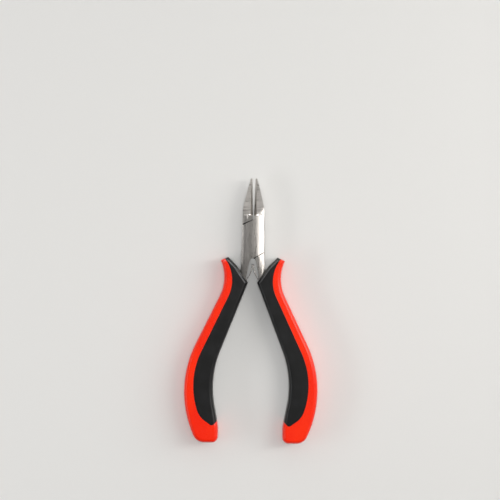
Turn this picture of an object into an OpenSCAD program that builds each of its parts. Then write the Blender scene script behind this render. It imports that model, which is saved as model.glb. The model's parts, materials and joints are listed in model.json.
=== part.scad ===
// Sprue nippers: small spring-opened side cutters with a lap joint and two-part moulded grips.
// They lie flat on the backs of the grips. +Y points to the jaws and +Z is up out of the front.

/* [Overall] */
// Pivot centre to the tips of the jaws
jaw_reach = 26.3; // [24:0.1:32]
// Pivot centre to the lower ends of the grips
handle_reach = 88.4; // [73:0.1:108]
// Outside width across the bellies of the grips
handle_spread = 57.8; // [48:0.1:70]
// Angle between the two cutting edges at rest, in degrees
rest_opening = 3; // [2:0.1:4]

/* [Joint] */
// Width of the head across the pivot
head_w = 9.7; // [8:0.1:12]
// Thickness of the head along its middle
head_t = 7; // [5.8:0.1:8.4]
// How far the crowned front drops at the sides of the head
crown_drop = 1.15; // [0.6:0.05:1.6]
// Angle by which each side of the head leans in towards the jaws, in degrees
head_lean = 1.1; // [0:0.1:2]
// Gap between the two cheeks of the lap joint
lap_gap = 0.06; // [0.02:0.01:0.1]
// Height of the upper seam where it would cross the middle
upper_seam_y = 8.36; // [7.5:0.02:9]
// Slope of the upper seam, in degrees
upper_seam_angle = 27; // [20:0.5:32]
// Gap of the upper seam at the middle
upper_seam_gap = 0.2; // [0.2:0.01:0.4]
// Angle by which the upper seam widens outwards, in degrees
upper_seam_wedge = 3.7; // [3:0.1:6]
// Depth of the lower seam where it would cross the middle
lower_seam_y = 8.5; // [7.5:0.02:9.5]
// Slope of the lower seam, in degrees
lower_seam_angle = 31.3; // [25:0.5:36]
// Gap of the lower seam, measured along Y
lower_seam_gap = 0.36; // [0.3:0.01:0.5]

/* [Pivot rivet] */
// Radius of the rivet's shank
rivet_r = 2; // [1.6:0.05:2.5]
// Radius of its two countersunk ends
rivet_head_r = 2.6; // [2.2:0.05:3.2]
// Depth of each countersunk end below the crown
rivet_head_depth = 0.8; // [0.5:0.05:1.1]
// Radial running clearance in the front lever
rivet_clear = 0.03; // [0.01:0.01:0.1]

/* [Jaws] */
// Distance from the pivot to the shoulders where the taper starts
shoulder_y = 13; // [12:0.1:14]
// Width across the shoulders
shoulder_w = 9.2; // [8:0.1:9.4]
// Width across both tips at rest
tip_w = 2.9; // [2.6:0.1:3.6]
// Outward bow of each tapered side
jaw_bow = 0.12; // [0:0.01:0.3]
// Rounding of the outer corner of each tip
tip_round = 0.4; // [0.2:0.05:0.5]
// Thickness of the tips
tip_t = 2.4; // [1.8:0.1:3]
// Distance from the pivot to the ledge where the ground facets start
facet_y = 10.2; // [9.8:0.1:11]
// Depth of the facets below the crown at the ledge
facet_step = 0.7; // [0.4:0.05:1]
// Radius of the grinding run-out at the ledge
ledge_r = 1.2; // [0.6:0.1:2]
// Width of the bevel beside each cutting edge
bevel_w = 1.05; // [0.6:0.05:1.4]
// Height of the flat land on each cutting edge
edge_land = 0.3; // [0.1:0.05:0.6]
// Gap left between the closed cutting edges
edge_gap = 0.06; // [0.02:0.01:0.1]
// Radius of the relief notch between the jaw roots
relief_r = 0.5; // [0.3:0.05:0.6]
// Distance from the pivot to the middle of the relief notch
relief_y = 9; // [8.8:0.1:9.4]

/* [Arms and tangs] */
// Half gap between the arms at the crotch
crotch_half = 0.95; // [0.8:0.05:1.2]
// Half gap between the arms where they straighten
arm_inner_x = 1.5; // [1.3:0.05:1.8]
// Distance from the pivot to where the arms straighten
arm_inner_y = 10; // [9.5:0.1:10.5]
// Distance from the pivot to where the head starts to thin into the arms
arm_thin_y = 5; // [4:0.1:5.6]
// Distance from the pivot to the arm's outer corner
arm_corner_y = 12.7; // [12:0.1:13.5]
// Thickness of an arm where it enters its grip
arm_t = 4.8; // [4:0.1:5.6]
// Distance from the pivot to the step between arm and tang
arm_end_y = 18.3; // [17.8:0.1:18.8]
// Width of a tang
tang_w = 3.2; // [2.6:0.1:3.8]
// Thickness of a tang
tang_t = 3.6; // [3:0.1:4.3]
// Distance from the inner face of a grip to its tang
tang_wall = 2.3; // [1.9:0.1:2.8]
// Distance from the tang's end to the lower end of the grip
tang_from_end = 18; // [14:0.5:24]

/* [Leaf springs] */
// Thickness of a leaf
leaf_t = 0.35; // [0.28:0.01:0.45]
// Width of a leaf
leaf_w = 3.2; // [2.6:0.1:3.6]
// Gap between the tips of the two leaves
leaf_tip_gap = 0.24; // [0.2:0.01:0.4]
// Distance from the pivot to the tips of the leaves
leaf_tip_y = 11.1; // [10.8:0.1:11.6]
// Bend radius of a leaf
leaf_r = 10.5; // [10:0.1:11]
// Angle through which a leaf bends, in degrees
leaf_bend = 36; // [34:0.5:38]
// Distance from the end of the bend to the leaf's rivet
leaf_foot = 3.2; // [3:0.1:3.6]
// Room on each side of the leaf at its rivet
leaf_room = 0.25; // [0.2:0.01:0.3]
// Radius of the leaf rivet's shank
leaf_rivet_r = 0.6; // [0.5:0.05:0.8]
// Radius of the leaf rivet's head
leaf_rivet_head_r = 1.15; // [0.95:0.05:1.3]
// Radius of the flat on top of that head
leaf_rivet_top_r = 0.8; // [0.5:0.05:0.9]
// Height of the leaf rivet's head
leaf_rivet_head_h = 0.45; // [0.35:0.05:0.5]
// Depth of the leaf rivet in the tang
leaf_rivet_depth = 2.3; // [1.8:0.1:2.5]
// Radial clearance of the leaf on its rivet
leaf_rivet_clear = 0.08; // [0.06:0.01:0.12]

/* [Grips] */
// Thickness of the grips
grip_t = 10; // [9.2:0.1:12]
// Outside half width at the waist below the finger stop
waist_x = 12.3; // [11:0.1:13.6]
// Distance from the pivot to the waist
waist_y = 16.9; // [16:0.1:18]
// Radius of the waist
waist_r = 18.4; // [16:0.1:20]
// Distance from the pivot to the outer point of the finger stop
stop_y = 9.4; // [8.8:0.1:10]
// Half width to the top corner of the finger stop
stop_top_x = 10.7; // [10:0.1:11.2]
// Distance from the pivot to the top corner of the finger stop
stop_top_y = 7.9; // [7.2:0.1:8.4]
// Half width to the bend in the slanted end face
slant_x = 6.85; // [6.4:0.05:7.2]
// Distance from the pivot to the bend in the slanted end face
slant_y = 11.9; // [11.4:0.1:12.4]
// Half width to the inner corner of the slanted end face
corner_x = 2; // [1.8:0.05:2.2]
// Distance from the pivot to that inner corner
corner_y = 18.95; // [18.6:0.05:19.3]
// Distance from the lower end to the widest part
belly_from_end = 22.4; // [20:0.1:26]
// Radius of the outside of the belly
belly_r = 46.4; // [42:0.1:52]
// Width of the grip across the belly
belly_w = 12.4; // [11.2:0.1:13.6]
// Radius of the inside of the belly
belly_inner_r = 43.6; // [40:0.1:48]
// How far the inside of the belly is centred above its widest part
belly_inner_rise = 1.5; // [0.8:0.1:2.2]
// Radius of the lower outer corner
end_outer_r = 5; // [3:0.1:6]
// Radius of the lower inner corner
end_inner_r = 2.6; // [1.5:0.1:3]
// How far the lower end of a grip hooks in from the inside of its belly
end_hook = 2.5; // [2:0.05:3]
// Radius of the easing above the lower end, on the inside
end_ease_r = 12; // [10:0.1:14]
// Height of that easing's middle above the lower end
end_ease_h = 5.4; // [4.6:0.1:6]
// How far the rounded rims reach in from the sides
rim_in = 1.6; // [1:0.1:1.7]
// How far the rounded rims reach down from the faces
rim_down = 2.4; // [1.6:0.1:3]

/* [Grip pads] */
// Width of the hard outer band at the waist
band_waist = 3.5; // [3:0.1:4.2]
// Width of the hard outer band at the belly
band_belly = 4; // [3.4:0.1:4.8]
// Radius of the pad's edge at the waist
pad_waist_r = 15.8; // [14:0.1:18]
// How far that edge is centred below the waist
pad_waist_drop = 1.3; // [0.8:0.1:1.8]
// Radius of the pad's edge at the belly
pad_belly_r = 34.3; // [32:0.1:38]
// How far that edge is centred above the widest part of the grip
pad_belly_rise = 2.5; // [2:0.1:3]
// Radius of the pad's lower outer corner
pad_corner_r = 9; // [7:0.1:10]
// Angle of the pad's edge where its lower corner starts, in degrees below level
pad_turn = 18.5; // [15:0.5:22]
// Slope of the pad's lower edge, in degrees from upright
pad_slope = 54; // [50:0.5:60]
// Length of that straight lower edge
pad_slope_l = 3; // [2:0.1:4]
// Radius of the pad's lowest point
pad_toe_r = 1.2; // [0.8:0.1:1.6]
// Thickness of the pad round the core
pad_t = 1.5; // [1.2:0.05:1.7]

/* [Fits] */
// Clearance between a tang and its socket
tang_fit = 0.03; // [0.01:0.01:0.1]
// Clearance round an arm in the mouth of its grip
mouth_clear = 0.3; // [0.2:0.02:0.4]
// Clearance beside the leaf and its rivet in the grip
leaf_pocket_clear = 0.15; // [0.1:0.01:0.2]

/* [Hidden] */
$fn = 72;
// Far enough to pass right through any piece
far = 200;
// Largest angle by which a leaf turns about its rivet
leaf_swing = 6;
// How far the pocket for a leaf carries on above its foot
pocket_rise = 2;
// How far a tang runs up inside its arm
tang_lap = 1;

// Everything is drawn about the pivot and the joint's mid plane, then moved so that the
// footprint is centred and the grips lie on the floor.
pivot_y = (handle_reach - jaw_reach) / 2;
mid_z = grip_t / 2;

half_rest = rest_opening / 2;
crown_r = (pow(head_w / 2, 2) + pow(crown_drop, 2)) / (2 * crown_drop);
facet_z = head_t / 2 - facet_step;
facet_fall = (facet_z - tip_t / 2) / (jaw_reach - facet_y);

// Middles of the arcs that shape the right grip
waist_c = [waist_x + waist_r, -waist_y];
belly_y = -handle_reach + belly_from_end;
belly_c = [handle_spread / 2 - belly_r, belly_y];
belly_inside = handle_spread / 2 - belly_w;
inner_c = [belly_inside - belly_inner_r, belly_y + belly_inner_rise];
end_outer_y = -handle_reach + end_outer_r;
end_outer_dx = sqrt(pow(belly_r - end_outer_r, 2) - pow(end_outer_y - belly_y, 2));
end_outer_c = [belly_c.x + end_outer_dx, end_outer_y];
end_inside = belly_inside - end_hook;
end_inner_c = [end_inside + end_inner_r, -handle_reach + end_inner_r];
ease_c = [end_inside + end_ease_r, -handle_reach + end_ease_h];
inner_corner = [corner_x, -corner_y];
pad_waist_c = [waist_x - band_waist + pad_waist_r, -waist_y - pad_waist_drop];
pad_belly_c = [handle_spread / 2 - band_belly - pad_belly_r, belly_y + pad_belly_rise];

// The right leaf's tip, the end of its bend and the two directions of its foot
leaf_tip = [(leaf_tip_gap + leaf_t) / 2, -leaf_tip_y];
leaf_arc_c = leaf_tip + [leaf_r, 0];
leaf_bend_end = leaf_arc_c - leaf_r * [cos(leaf_bend), sin(leaf_bend)];
leaf_along = [sin(leaf_bend), -cos(leaf_bend)];
leaf_outward = [cos(leaf_bend), sin(leaf_bend)];
leaf_seat = leaf_t / 2 + leaf_room;

function unit(v) = v / norm(v);
function turn_right(v) = [v.y, -v.x];
function on_circle(c, r, a) = c + r * [cos(a), sin(a)];
function arc(c, r, a0, a1, n) = [for (i = [0:n]) on_circle(c, r, a0 + (a1 - a0) * i / n)];
// The same without its first point, for an arc that carries on from another
function arc_on(c, r, a0, a1, n) = [for (i = [1:n]) on_circle(c, r, a0 + (a1 - a0) * i / n)];
// n points along a line from p, stopping short of q
function line(p, q, n) = [for (i = [0:n - 1]) p + (q - p) * i / n];
// Points of a shallow bow from p to q that stands out by sag on its left
function bow(p, q, sag, n) =
    let (side = -turn_right(unit(q - p)))
    [for (i = [0:n]) let (t = i / n) p + t * (q - p) + 4 * sag * t * (1 - t) * side];
// Angle on circle 1 where a line that crosses between the two circles touches it
function cross_tangent(c1, r1, c2, r2, way) =
    let (d = c2 - c1) atan2(d.y, d.x) + way * acos((r1 + r2) / norm(d));
// Angle on a circle where a line from p, above it, touches its right side
function point_tangent(p, c, r) = let (d = p - c) atan2(d.y, d.x) - acos(r / norm(d));
// A closed clockwise outline moved inwards by d
function inset(points, d) = let (n = len(points)) [
    for (i = [0:n - 1])
        let (
            n1 = turn_right(unit(points[i] - points[(i + n - 1) % n])),
            n2 = turn_right(unit(points[(i + 1) % n] - points[i])),
            b = unit(n1 + n2)
        )
        points[i] + b * d / (b * n1)
];

// Right-hand side of the head, x at a given y
function side_x(y) = head_w / 2 - y * tan(head_lean);
// Right cutting edge at rest, x at a given y
function edge_x(y) = y * tan(half_rest) + edge_gap / 2;
// Each seam line as its height in the middle and its slope
upper_cheek_line = [upper_seam_y, -tan(upper_seam_angle)];
upper_root_line = [upper_seam_y + upper_seam_gap, -tan(upper_seam_angle - upper_seam_wedge)];
lower_cheek_line = [-lower_seam_y, tan(lower_seam_angle)];
lower_root_line = [-lower_seam_y - lower_seam_gap, tan(lower_seam_angle)];
// A seam line's point at a distance x from the middle, and where it meets the head's right side
function seam_at(l, x) = [x, l[0] + l[1] * x];
function seam_end(l) = seam_at(l, (head_w / 2 - l[0] * tan(head_lean)) / (1 + l[1] * tan(head_lean)));
// A point s along the right leaf's foot and o outwards from its middle
function foot_point(s, o) = leaf_bend_end + s * leaf_along + o * leaf_outward;

// Where the flat for the leaf starts along its foot
leaf_flat_start = 0.6;
tang_top = foot_point(leaf_foot + leaf_w / 2 + leaf_room, leaf_seat);
// How far above that corner the tang's outer side starts
tang_shoulder = 1.2;
tang_inner_r = belly_inner_r + tang_wall;
tang_lean = point_tangent(tang_top, inner_c, tang_inner_r);
tang_across = [cos(tang_lean), sin(tang_lean)];
tang_end_angle = asin((-handle_reach + tang_from_end - inner_c.y) / tang_inner_r);

// Right arm and tang together, drawn clockwise from the root
handle_points = concat(
    [
        seam_end(lower_root_line),
        [side_x(-arm_corner_y), -arm_corner_y],
        tang_top + tang_w * tang_across + tang_shoulder * [-sin(tang_lean), cos(tang_lean)],
    ],
    arc(inner_c, tang_inner_r + tang_w, tang_lean, tang_end_angle, 10),
    arc(inner_c, tang_inner_r, tang_end_angle, tang_lean, 10),
    [
        tang_top,
        foot_point(leaf_flat_start, leaf_seat),
        [arm_inner_x, -arm_inner_y],
        seam_at(lower_root_line, crotch_half),
    ]
);

// Outline of the right grip, drawn clockwise from the top corner of its finger stop. Each
// point on the outer side has a partner on the inner side, so that strips can close the faces.
waist_angle = cross_tangent(waist_c, waist_r, belly_c, belly_r, -1);
stop_angle = 180 - asin((waist_y - stop_y) / waist_r);
end_angle = atan2(end_outer_y - belly_y, end_outer_dx);
ease_angle = cross_tangent(inner_c, belly_inner_r, ease_c, end_ease_r, 1);
corner_angle = point_tangent(inner_corner, inner_c, belly_inner_r);
// The straight stretch between waist and belly
flank = on_circle(belly_c, -belly_r, waist_angle) - on_circle(waist_c, waist_r, waist_angle);
outer_side = concat(
    [[stop_top_x, -stop_top_y]],
    arc(waist_c, waist_r, stop_angle, waist_angle + 360, 6),
    line(
        on_circle(waist_c, waist_r, waist_angle) + flank / 6,
        on_circle(waist_c, waist_r, waist_angle) + flank, 5
    ),
    arc(belly_c, belly_r, waist_angle + 180, end_angle, 14),
    arc_on(end_outer_c, end_outer_r, end_angle, -90, 6)
);
inner_side = concat(
    line([slant_x, -slant_y], inner_corner, 3),
    line(inner_corner, on_circle(inner_c, belly_inner_r, corner_angle), 8),
    arc(inner_c, belly_inner_r, corner_angle, ease_angle, 14),
    arc(ease_c, end_ease_r, 180 + ease_angle, 180, 1),
    arc(end_inner_c, end_inner_r, 180, 270, 5)
);
half_n = len(outer_side);
grip_points = concat(outer_side, [for (i = [1:half_n]) inner_side[half_n - i]]);

// Outline of the space that the right pad fills, open towards the inner side of the grip
pad_angle = cross_tangent(pad_waist_c, pad_waist_r, pad_belly_c, pad_belly_r, -1);
pad_corner_c = on_circle(pad_belly_c, pad_belly_r - pad_corner_r, -pad_turn);
pad_corner_end = on_circle(pad_corner_c, pad_corner_r, -pad_slope);
pad_toe_start = pad_corner_end - pad_slope_l * [sin(pad_slope), cos(pad_slope)];
pad_toe_c = on_circle(pad_toe_start, -pad_toe_r, -pad_slope);
pad_top_angle = 130;
pad_heel_angle = -135;
pad_heel = on_circle(pad_toe_c, pad_toe_r, pad_heel_angle);
pad_points = concat(
    arc(pad_waist_c, pad_waist_r, pad_top_angle, pad_angle + 360, 12),
    arc(pad_belly_c, pad_belly_r, pad_angle + 180, -pad_turn, 12),
    arc_on(pad_corner_c, pad_corner_r, -pad_turn, -pad_slope, 5),
    arc(pad_toe_c, pad_toe_r, -pad_slope, pad_heel_angle, 4),
    [pad_heel + 2 * pad_t * [-1, 1], [-corner_x, pad_heel.y + 2 * pad_t], [-corner_x, 0]]
);

module placed() {
    translate([0, pivot_y, mid_z]) children();
}

module mirrored() {
    mirror([1, 0, 0]) children();
}

// Extrudes a side view, drawn in Y and Z, across the whole width
module side_cut() {
    rotate([90, 0, 90]) linear_extrude(far, center = true) children();
}

// The crowned envelope of the head, curved about Y on both faces
module crowned_head() {
    intersection_for(s = [-1, 1])
        translate([0, 0, s * (crown_r - head_t / 2)])
            rotate([90, 0, 0]) cylinder(h = far, r = crown_r, center = true, $fn = 144);
}

// Right jaw, full thickness, with its ground facets and bevels
module jaw() {
    tip_x = tip_w / 2;
    shoulder = [shoulder_w / 2, shoulder_y];
    plan = concat(
        [seam_at(upper_root_line, edge_x(upper_seam_y)), [edge_x(jaw_reach), jaw_reach]],
        arc([tip_x - tip_round, jaw_reach - tip_round], tip_round, 90, 0, 4),
        bow([tip_x, jaw_reach - tip_round], shoulder, jaw_bow, 6),
        [seam_end(upper_root_line)]
    );
    difference() {
        intersection() {
            linear_extrude(far, center = true) polygon(plan);
            crowned_head();
        }
        for (s = [0, 1]) mirror([0, 0, s]) {
            facet_cutter();
            bevel_cutter();
        }
    }
}

// Removes what stands above a jaw's sloping facet, with a rounded run-out at the ledge
module facet_cutter() {
    run_y = facet_y + ledge_r;
    run_z = facet_z - ledge_r * facet_fall;
    side_cut() {
        polygon([
            [run_y, run_z],
            [far, run_z - (far - run_y) * facet_fall],
            [far, far],
            [run_y, far],
        ]);
        translate([run_y, run_z + ledge_r]) circle(ledge_r);
        translate([facet_y, run_z + ledge_r]) square([ledge_r, far]);
    }
}

// Removes the bevel beside a cutting edge, from the land outwards
module bevel_cutter() {
    rise = facet_z - edge_land / 2;
    rotate([0, 0, -half_rest]) translate([edge_gap / 2, facet_y, 0])
        rotate([-90, 0, 0]) mirror([0, 1, 0]) linear_extrude(far)
            polygon([
                [-bevel_w, edge_land / 2],
                [0, edge_land / 2],
                [2 * bevel_w, edge_land / 2 + 2 * rise],
                [-bevel_w, edge_land / 2 + 2 * rise],
            ]);
}

// The envelope of the arms, which thin from the head down to their ends
module thinning() {
    slope = (head_t - arm_t) / 2 / (arm_end_y - arm_thin_y);
    top = arm_t / 2 + (far + arm_end_y) * slope;
    side_cut()
        polygon([[far, -top], [far, top], [-arm_end_y, arm_t / 2], [-arm_end_y, -arm_t / 2]]);
}

// The half-thickness cheek that joins the right jaw to the left arm across the front
module cheek() {
    top = seam_at(upper_cheek_line, -edge_x(upper_seam_y));
    left_top = seam_end(upper_cheek_line);
    left_root = seam_end(lower_root_line);
    plan = [
        [edge_x(upper_seam_y), top.y],
        [edge_x(facet_y), facet_y],
        [side_x(facet_y), facet_y],
        seam_end(upper_root_line),
        seam_end(lower_cheek_line),
        seam_at(lower_cheek_line, crotch_half / 2),
        [-crotch_half / 2, -lower_seam_y],
        [-crotch_half, -lower_seam_y - crotch_half / 4],
        [-arm_inner_x, -arm_inner_y],
        [-side_x(-arm_corner_y), -arm_corner_y],
        [-left_root.x, left_root.y],
        [-left_top.x, left_top.y],
    ];
    intersection() {
        translate([0, 0, lap_gap / 2]) linear_extrude(far) polygon(plan);
        crowned_head();
        thinning();
    }
}

// Right arm with its tang; the arm thins towards the grip and steps down to the tang
module handle() {
    intersection() {
        linear_extrude(far, center = true) polygon(handle_points);
        crowned_head();
        thinning();
    }
    intersection() {
        linear_extrude(tang_t, center = true) polygon(handle_points);
        translate([-far / 2, -far - arm_end_y + tang_lap, -far / 2]) cube(far);
    }
}

// Countersunk rivet, grown by clear, before it is ground flush with the crown. Each cone
// runs on past the crown at the same slope.
module rivet_body(clear) {
    flare = rivet_head_r - rivet_r;
    cylinder(h = head_t, r = rivet_r + clear, center = true);
    for (s = [0, 1]) mirror([0, 0, s]) {
        translate([0, 0, head_t / 2 - rivet_head_depth])
            cylinder(h = 2 * rivet_head_depth, r1 = rivet_r + clear, r2 = rivet_r + clear + 2 * flare);
    }
}

// The lever seen in front: right jaw, front cheek and left handle
module lever(pivot_clear) {
    difference() {
        union() {
            jaw();
            cheek();
            mirrored() handle();
        }
        rivet_body(pivot_clear);
        translate([0, relief_y, 0]) cylinder(h = far, r = relief_r, center = true);
        mirrored() leaf_rivet_shank();
    }
}

module front_lever() {
    color("silver") placed() lever(rivet_clear);
}

module back_lever() {
    color("lightsteelblue") placed() rotate([0, 180, 0]) lever(0);
}

module pivot_rivet() {
    color("dimgray") placed() intersection() {
        rivet_body(0);
        crowned_head();
    }
}

// Places children at the right leaf's rivet, with Z along the rivet, towards the tang
module at_leaf_rivet() {
    p = foot_point(leaf_foot, 0);
    translate([p.x, p.y, 0]) rotate([0, 90, leaf_bend]) children();
}

module leaf_rivet_shank() {
    at_leaf_rivet() translate([0, 0, -leaf_seat])
        cylinder(h = 2 * leaf_seat + leaf_rivet_depth, r = leaf_rivet_r);
}

module leaf_rivet() {
    head_z = leaf_seat + leaf_rivet_head_h;
    leaf_rivet_shank();
    at_leaf_rivet() translate([0, 0, -head_z])
        cylinder(h = leaf_rivet_head_h, r1 = leaf_rivet_top_r, r2 = leaf_rivet_head_r);
}

// Right leaf: a bent strip whose flat foot has a rounded end and a hole for its rivet
module leaf() {
    difference() {
        union() {
            translate([leaf_arc_c.x, leaf_arc_c.y, 0])
                rotate_extrude(angle = leaf_bend, start = 180, $fn = 144)
                    translate([leaf_r - leaf_t / 2, -leaf_w / 2]) square([leaf_t, leaf_w]);
            translate([leaf_bend_end.x, leaf_bend_end.y, 0]) rotate([0, 0, leaf_bend - 90])
                translate([0, -leaf_t / 2, -leaf_w / 2]) cube([leaf_foot, leaf_t, leaf_w]);
            at_leaf_rivet() cylinder(h = leaf_t, r = leaf_w / 2, center = true);
        }
        at_leaf_rivet() cylinder(h = 2 * leaf_seat, r = leaf_rivet_r + leaf_rivet_clear, center = true);
    }
}

// Right grip's outer form: its outline with rounded rims on both faces
module grip_body() {
    n = 2 * half_n;
    steps = [0, 30, 60, 90];
    rim = [for (a = steps) [rim_in * (1 - cos(a)), grip_t / 2 - rim_down * (1 - sin(a))]];
    levels = concat([for (i = [3:-1:0]) [rim[i][0], -rim[i][1]]], rim);
    points = [for (v = levels) for (p = inset(grip_points, v[0])) [p.x, p.y, v[1]]];
    sides = [
        for (k = [0:len(levels) - 2]) for (i = [0:n - 1])
            let (j = (i + 1) % n) [k * n + i, k * n + j, (k + 1) * n + j, (k + 1) * n + i]
    ];
    top = (len(levels) - 1) * n;
    bottom_strips = [for (i = [0:half_n - 2]) [n - 1 - i, n - 2 - i, i + 1, i]];
    top_strips = [for (q = bottom_strips) [for (i = [3:-1:0]) top + q[i]]];
    polyhedron(points, concat(sides, bottom_strips, top_strips));
}

// Hard middle of the right grip, which the pad wraps
module grip_core() {
    linear_extrude(grip_t - 2 * pad_t, center = true) polygon(inset(grip_points, rim_in));
}

module pad_space() {
    linear_extrude(far, center = true) polygon(pad_points);
}

// Room for the arm, tang, leaf and leaf rivet inside the right grip
module socket() {
    intersection() {
        linear_extrude(arm_t + 2 * mouth_clear, center = true)
            offset(delta = mouth_clear) polygon(handle_points);
        translate([-far / 2, -arm_end_y - mouth_clear, -far / 2]) cube(far);
    }
    linear_extrude(tang_t + 2 * tang_fit, center = true) offset(delta = tang_fit) polygon(handle_points);
    leaf_side = leaf_t / 2 + leaf_pocket_clear;
    swept = (leaf_foot + pocket_rise) * sin(leaf_swing);
    head_side = leaf_seat + leaf_rivet_head_h + leaf_pocket_clear;
    head_start = leaf_foot - leaf_rivet_head_r - leaf_pocket_clear;
    foot_end = leaf_foot + leaf_w / 2 + leaf_pocket_clear;
    linear_extrude(leaf_w + 4 * leaf_pocket_clear, center = true) polygon([
        foot_point(-pocket_rise, leaf_seat + mouth_clear),
        foot_point(-pocket_rise, -leaf_side - swept),
        foot_point(head_start, -leaf_side - leaf_pocket_clear),
        foot_point(head_start, -head_side),
        foot_point(foot_end, -head_side),
        foot_point(foot_end, leaf_seat + mouth_clear),
    ]);
}

module grip_shell() {
    difference() {
        grip_body();
        difference() {
            pad_space();
            grip_core();
        }
        socket();
    }
}

module grip_pad() {
    difference() {
        intersection() {
            grip_body();
            pad_space();
        }
        grip_core();
        socket();
    }
}

module left_leaf_spring() {
    color("gainsboro") placed() mirrored() leaf();
}

module right_leaf_spring() {
    color("gainsboro") placed() leaf();
}

module left_spring_rivet() {
    color("gray") placed() mirrored() leaf_rivet();
}

module right_spring_rivet() {
    color("gray") placed() leaf_rivet();
}

module left_grip_shell() {
    color("orangered") placed() mirrored() grip_shell();
}

module right_grip_shell() {
    color("orangered") placed() grip_shell();
}

module left_grip_pad() {
    color([0.13, 0.13, 0.14]) placed() mirrored() grip_pad();
}

module right_grip_pad() {
    color([0.13, 0.13, 0.14]) placed() grip_pad();
}

front_lever();
back_lever();
pivot_rivet();
left_leaf_spring();
right_leaf_spring();
left_spring_rivet();
right_spring_rivet();
left_grip_shell();
right_grip_shell();
left_grip_pad();
right_grip_pad();
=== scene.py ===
"""Sprue nippers: small spring-opened side cutters with a lap joint and two-part moulded grips.

Pieces are drawn about the pivot, front face up (+Z) and jaws up the page (+Y), then moved to
the pivot's place in the frame. The grip, leaf and arm of the right half are drawn; the left
half is the same shape turned half round about Y. Each lever has its jaw on one side and its
arm on the other.
"""

import json
from functools import cache
from math import acos, asin, atan2, cos, pi, radians, sin, sqrt, tan

import bmesh
import bpy
from bpy.props import FloatProperty, FloatVectorProperty, PointerProperty
from bpy.types import Operator, Panel, PropertyGroup
from mathutils import Matrix, Vector


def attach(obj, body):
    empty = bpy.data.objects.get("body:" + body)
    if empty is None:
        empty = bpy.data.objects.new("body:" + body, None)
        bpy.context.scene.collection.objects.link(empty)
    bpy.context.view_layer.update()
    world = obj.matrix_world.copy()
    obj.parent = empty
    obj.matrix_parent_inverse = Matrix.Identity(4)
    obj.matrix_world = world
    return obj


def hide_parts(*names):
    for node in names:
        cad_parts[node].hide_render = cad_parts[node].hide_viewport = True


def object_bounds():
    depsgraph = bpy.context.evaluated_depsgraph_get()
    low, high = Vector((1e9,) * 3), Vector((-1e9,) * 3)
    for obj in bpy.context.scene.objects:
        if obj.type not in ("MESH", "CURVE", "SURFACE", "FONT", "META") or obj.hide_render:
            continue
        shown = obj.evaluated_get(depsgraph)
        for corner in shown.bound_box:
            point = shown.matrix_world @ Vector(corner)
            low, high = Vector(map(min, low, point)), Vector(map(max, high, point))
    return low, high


bl_info = {
    "name": "Sprue nippers",
    "version": (1, 0, 0),
    "blender": (4, 5, 0),
    "location": "3D View > Sidebar > Nippers",
    "description": "Builds the levers, springs, rivets and moulded grips of small side cutters",
    "category": "Object",
}

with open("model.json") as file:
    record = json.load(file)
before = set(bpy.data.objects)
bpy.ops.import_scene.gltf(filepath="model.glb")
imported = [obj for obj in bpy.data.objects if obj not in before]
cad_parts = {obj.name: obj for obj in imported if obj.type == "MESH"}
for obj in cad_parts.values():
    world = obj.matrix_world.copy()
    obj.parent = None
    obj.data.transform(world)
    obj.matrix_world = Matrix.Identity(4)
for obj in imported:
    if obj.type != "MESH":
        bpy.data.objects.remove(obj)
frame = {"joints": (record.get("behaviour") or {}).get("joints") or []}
CAD_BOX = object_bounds()

MM = 0.001
JOINTS = {joint["name"]: joint for joint in frame["joints"]}
PIVOT = Vector(JOINTS["pivot"]["pos_m"])
LOW, HIGH = CAD_BOX
HANDLE_REACH = PIVOT.y - LOW.y
JAW_REACH = HIGH.y - PIVOT.y
HALF_SPREAD = (HIGH.x - LOW.x) / 2
HALF_THICK = (HIGH.z - LOW.z) / 2
# Far enough to pass right through any piece
FAR = 0.2
# Points closer than this are one point
MERGED = 0.004 * MM
# Edges that turn by more than this are shaded as sharp
SHARP = radians(40)
# Sides given to a round of the pivot and to a small round
PIVOT_SIDES, SMALL_SIDES = 64, 32
# Half a turn about Y, which makes a right-hand piece a left-hand one
OVER = Matrix.Rotation(pi, 4, "Y")
# Turns of a flat outline: seen from the front, looking along +Y, and from the side, along -X
UPRIGHT_XZ = Matrix.Rotation(pi / 2, 4, "X")
UPRIGHT_YZ = Matrix(((0, 0, 1, 0), (1, 0, 0, 0), (0, 1, 0, 0), (0, 0, 0, 1)))


# ---- sizes and colours


def mm(name, text, millimetres):
    """A length, stated in millimetres and kept in metres."""
    return FloatProperty(
        name=name, description=text, default=millimetres * MM, unit="LENGTH", precision=5
    )


def turn(name, text, degrees):
    """An angle, stated in degrees and kept in radians."""
    return FloatProperty(name=name, description=text, default=radians(degrees), subtype="ANGLE")


def shade(name, text, rgb):
    """A colour."""
    return FloatVectorProperty(
        name=name, description=text, default=rgb, size=3, subtype="COLOR", min=0, max=1
    )


class NIPPERS_PG_head(PropertyGroup):
    width: mm("Head width", "Width of the head across the pivot", 9.7)
    thick: mm("Head thickness", "Thickness along the middle", 7)
    crown: mm("Crown", "Drop of the crowned faces at the head's sides", 1.15)
    lean: turn("Lean", "Lean of the head's sides in towards the jaws", 1.1)
    lap: mm("Lap gap", "Gap between the two cheeks", 0.06)
    upper_y: mm("Upper seam", "Height where it would cross the middle", 8.36)
    upper_slope: turn("Upper seam slope", "Slope of that seam", 27)
    upper_gap: mm("Upper seam gap", "Its gap at the middle", 0.2)
    upper_wedge: turn("Upper seam wedge", "Angle by which it widens outwards", 3.7)
    lower_y: mm("Lower seam", "Depth where it would cross the middle", 8.5)
    lower_slope: turn("Lower seam slope", "Slope of that seam", 31.3)
    lower_gap: mm("Lower seam gap", "Its gap, along Y", 0.36)
    edge: mm("Edge rounding", "How far the steel's edges are broken", 0.11)


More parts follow.
